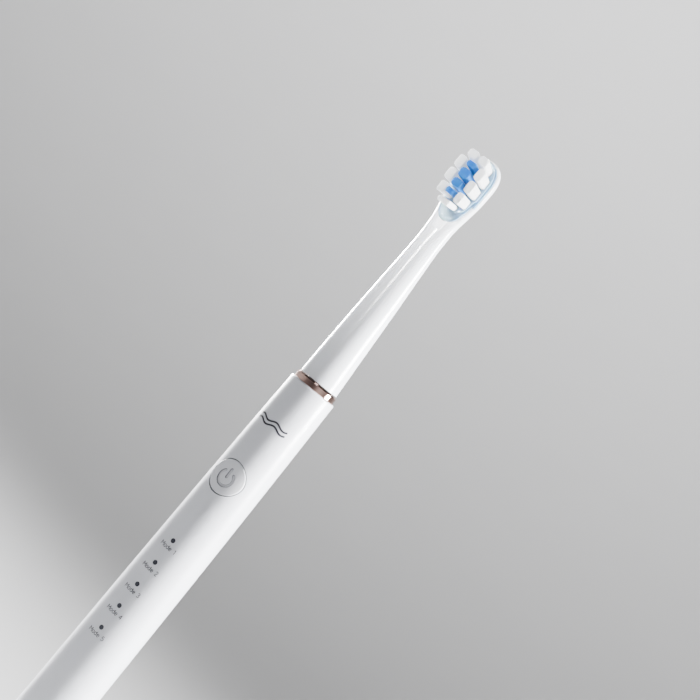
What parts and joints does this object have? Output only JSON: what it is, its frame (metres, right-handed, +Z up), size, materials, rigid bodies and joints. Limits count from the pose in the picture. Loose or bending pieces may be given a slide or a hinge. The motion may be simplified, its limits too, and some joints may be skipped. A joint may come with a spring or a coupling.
{
  "type": "electric toothbrush on charger",
  "caption": "Slim sonic toothbrush with a pull-off tufted head and a front power button, standing on a round induction charger.",
  "frame": {"origin": "centre of the charger's underside, on the surface it stands on", "axes": "+Z up along the brush's long axis; the front, with the power button and the bristles, faces -Y; the cable outlet faces +Y"},
  "size_m": [0.054, 0.054, 0.2521],
  "materials": {
    "charger_plastic": "pearl white, satin gloss",
    "handle_pearl": "pearl white, soft satin gloss",
    "head_white": "glossy white",
    "rose_metal": "polished rose gold plating",
    "button_silicone": "soft-touch white",
    "seal_silicone": "grey silicone",
    "foot_rubber": "matte black rubber",
    "grommet_rubber": "matte white rubber",
    "clear_lens": "smoked clear plastic",
    "plate_blue": "translucent milky blue",
    "white_filament": "white nylon filaments",
    "blue_filament": "light blue nylon filaments",
    "brass_wire": "plain",
    "frame_plastic": "dark grey, moulded",
    "spool_plastic": "natural nylon",
    "circuit_board": "green solder mask",
    "component_black": "moulded epoxy",
    "lamp_white": "white package",
    "copper_wire": "enamelled copper",
    "lead_insulation": "red PVC",
    "cell_sleeve": "blue shrink sleeve",
    "nickel": "bright nickel",
    "steel": "ground",
    "motor_steel": "deep drawn, plated",
    "bronze": "sintered, oiled",
    "iron": "laminated",
    "magnet": "nickel-plated",
    "ferrite": "sintered ferrite"
  },
  "bodies": {
    "charger": {"charger_shell": "charger_plastic", "charger_base": "charger_plastic", "charger_screws": "steel", "charger_foot_ring": "foot_rubber", "charger_board": "circuit_board", "charger_parts": "component_black", "charger_bobbin": "spool_plastic", "primary_coil": "copper_wire", "charger_core": "ferrite", "cable_grommet": "grommet_rubber"},
    "handle": {"handle_shell": "handle_pearl", "trim_ring": "rose_metal", "button_gasket": "seal_silicone", "light_guide": "clear_lens", "inner_frame": "frame_plastic", "main_board": "circuit_board", "board_screws": "steel", "tact_switch": "component_black", "mode_leds": "lamp_white", "control_chip": "component_black", "board_parts": "component_black", "battery_cell": "cell_sleeve", "battery_tabs": "nickel", "motor_case": "motor_steel", "motor_end_plate": "frame_plastic", "front_bushing": "bronze", "rear_bushing": "bronze", "stator_core": "iron", "stator_coils": "copper_wire", "motor_cushions": "seal_silicone", "motor_leads": "lead_insulation", "shaft_seal": "seal_silicone", "end_cap": "handle_pearl", "end_cap_seal": "foot_rubber", "coil_bobbin": "spool_plastic", "charge_coil": "copper_wire", "coil_shield": "ferrite", "coil_leads": "copper_wire"},
    "button": {"power_button": "button_silicone"},
    "switch_plunger": {"switch_plunger": "component_black"},
    "rotor": {"drive_shaft": "steel", "rotor_core": "iron", "rotor_magnets": "magnet"},
    "brush_head": {"brush_neck": "head_white", "neck_insert": "spool_plastic", "shaft_clip": "nickel", "tuft_plate": "plate_blue", "white_tufts": "white_filament", "blue_tufts": "blue_filament", "tuft_anchors": "brass_wire"}
  },
  "joints": [
    {"name": "handle_lift", "type": "slide", "parent": "charger", "child": "handle", "axis": [0, 0, 1], "range_m": [0, 0.04]},
    {"name": "button_press", "type": "slide", "parent": "handle", "child": "button", "axis": [0, 1, 0], "range_m": [0, 0.00035], "stiffness_N_per_m": 2000},
    {"name": "plunger_press", "type": "slide", "parent": "handle", "child": "switch_plunger", "axis": [0, 1, 0], "range_m": [0, 0.00035]},
    {"name": "drive_oscillation", "type": "hinge", "parent": "handle", "child": "rotor", "pos_m": [0, 0, 0.15925], "axis": [0, 0, 1], "range_deg": [-5, 5], "stiffness_Nm_per_rad": 0.2},
    {"name": "head_pull", "type": "slide", "parent": "rotor", "child": "brush_head", "axis": [0, 0, 1], "range_m": [0, 0.03]}
  ],
  "couplings": [
    {"joint": "plunger_press", "follows": "button_press", "ratio": 1}
  ]
}
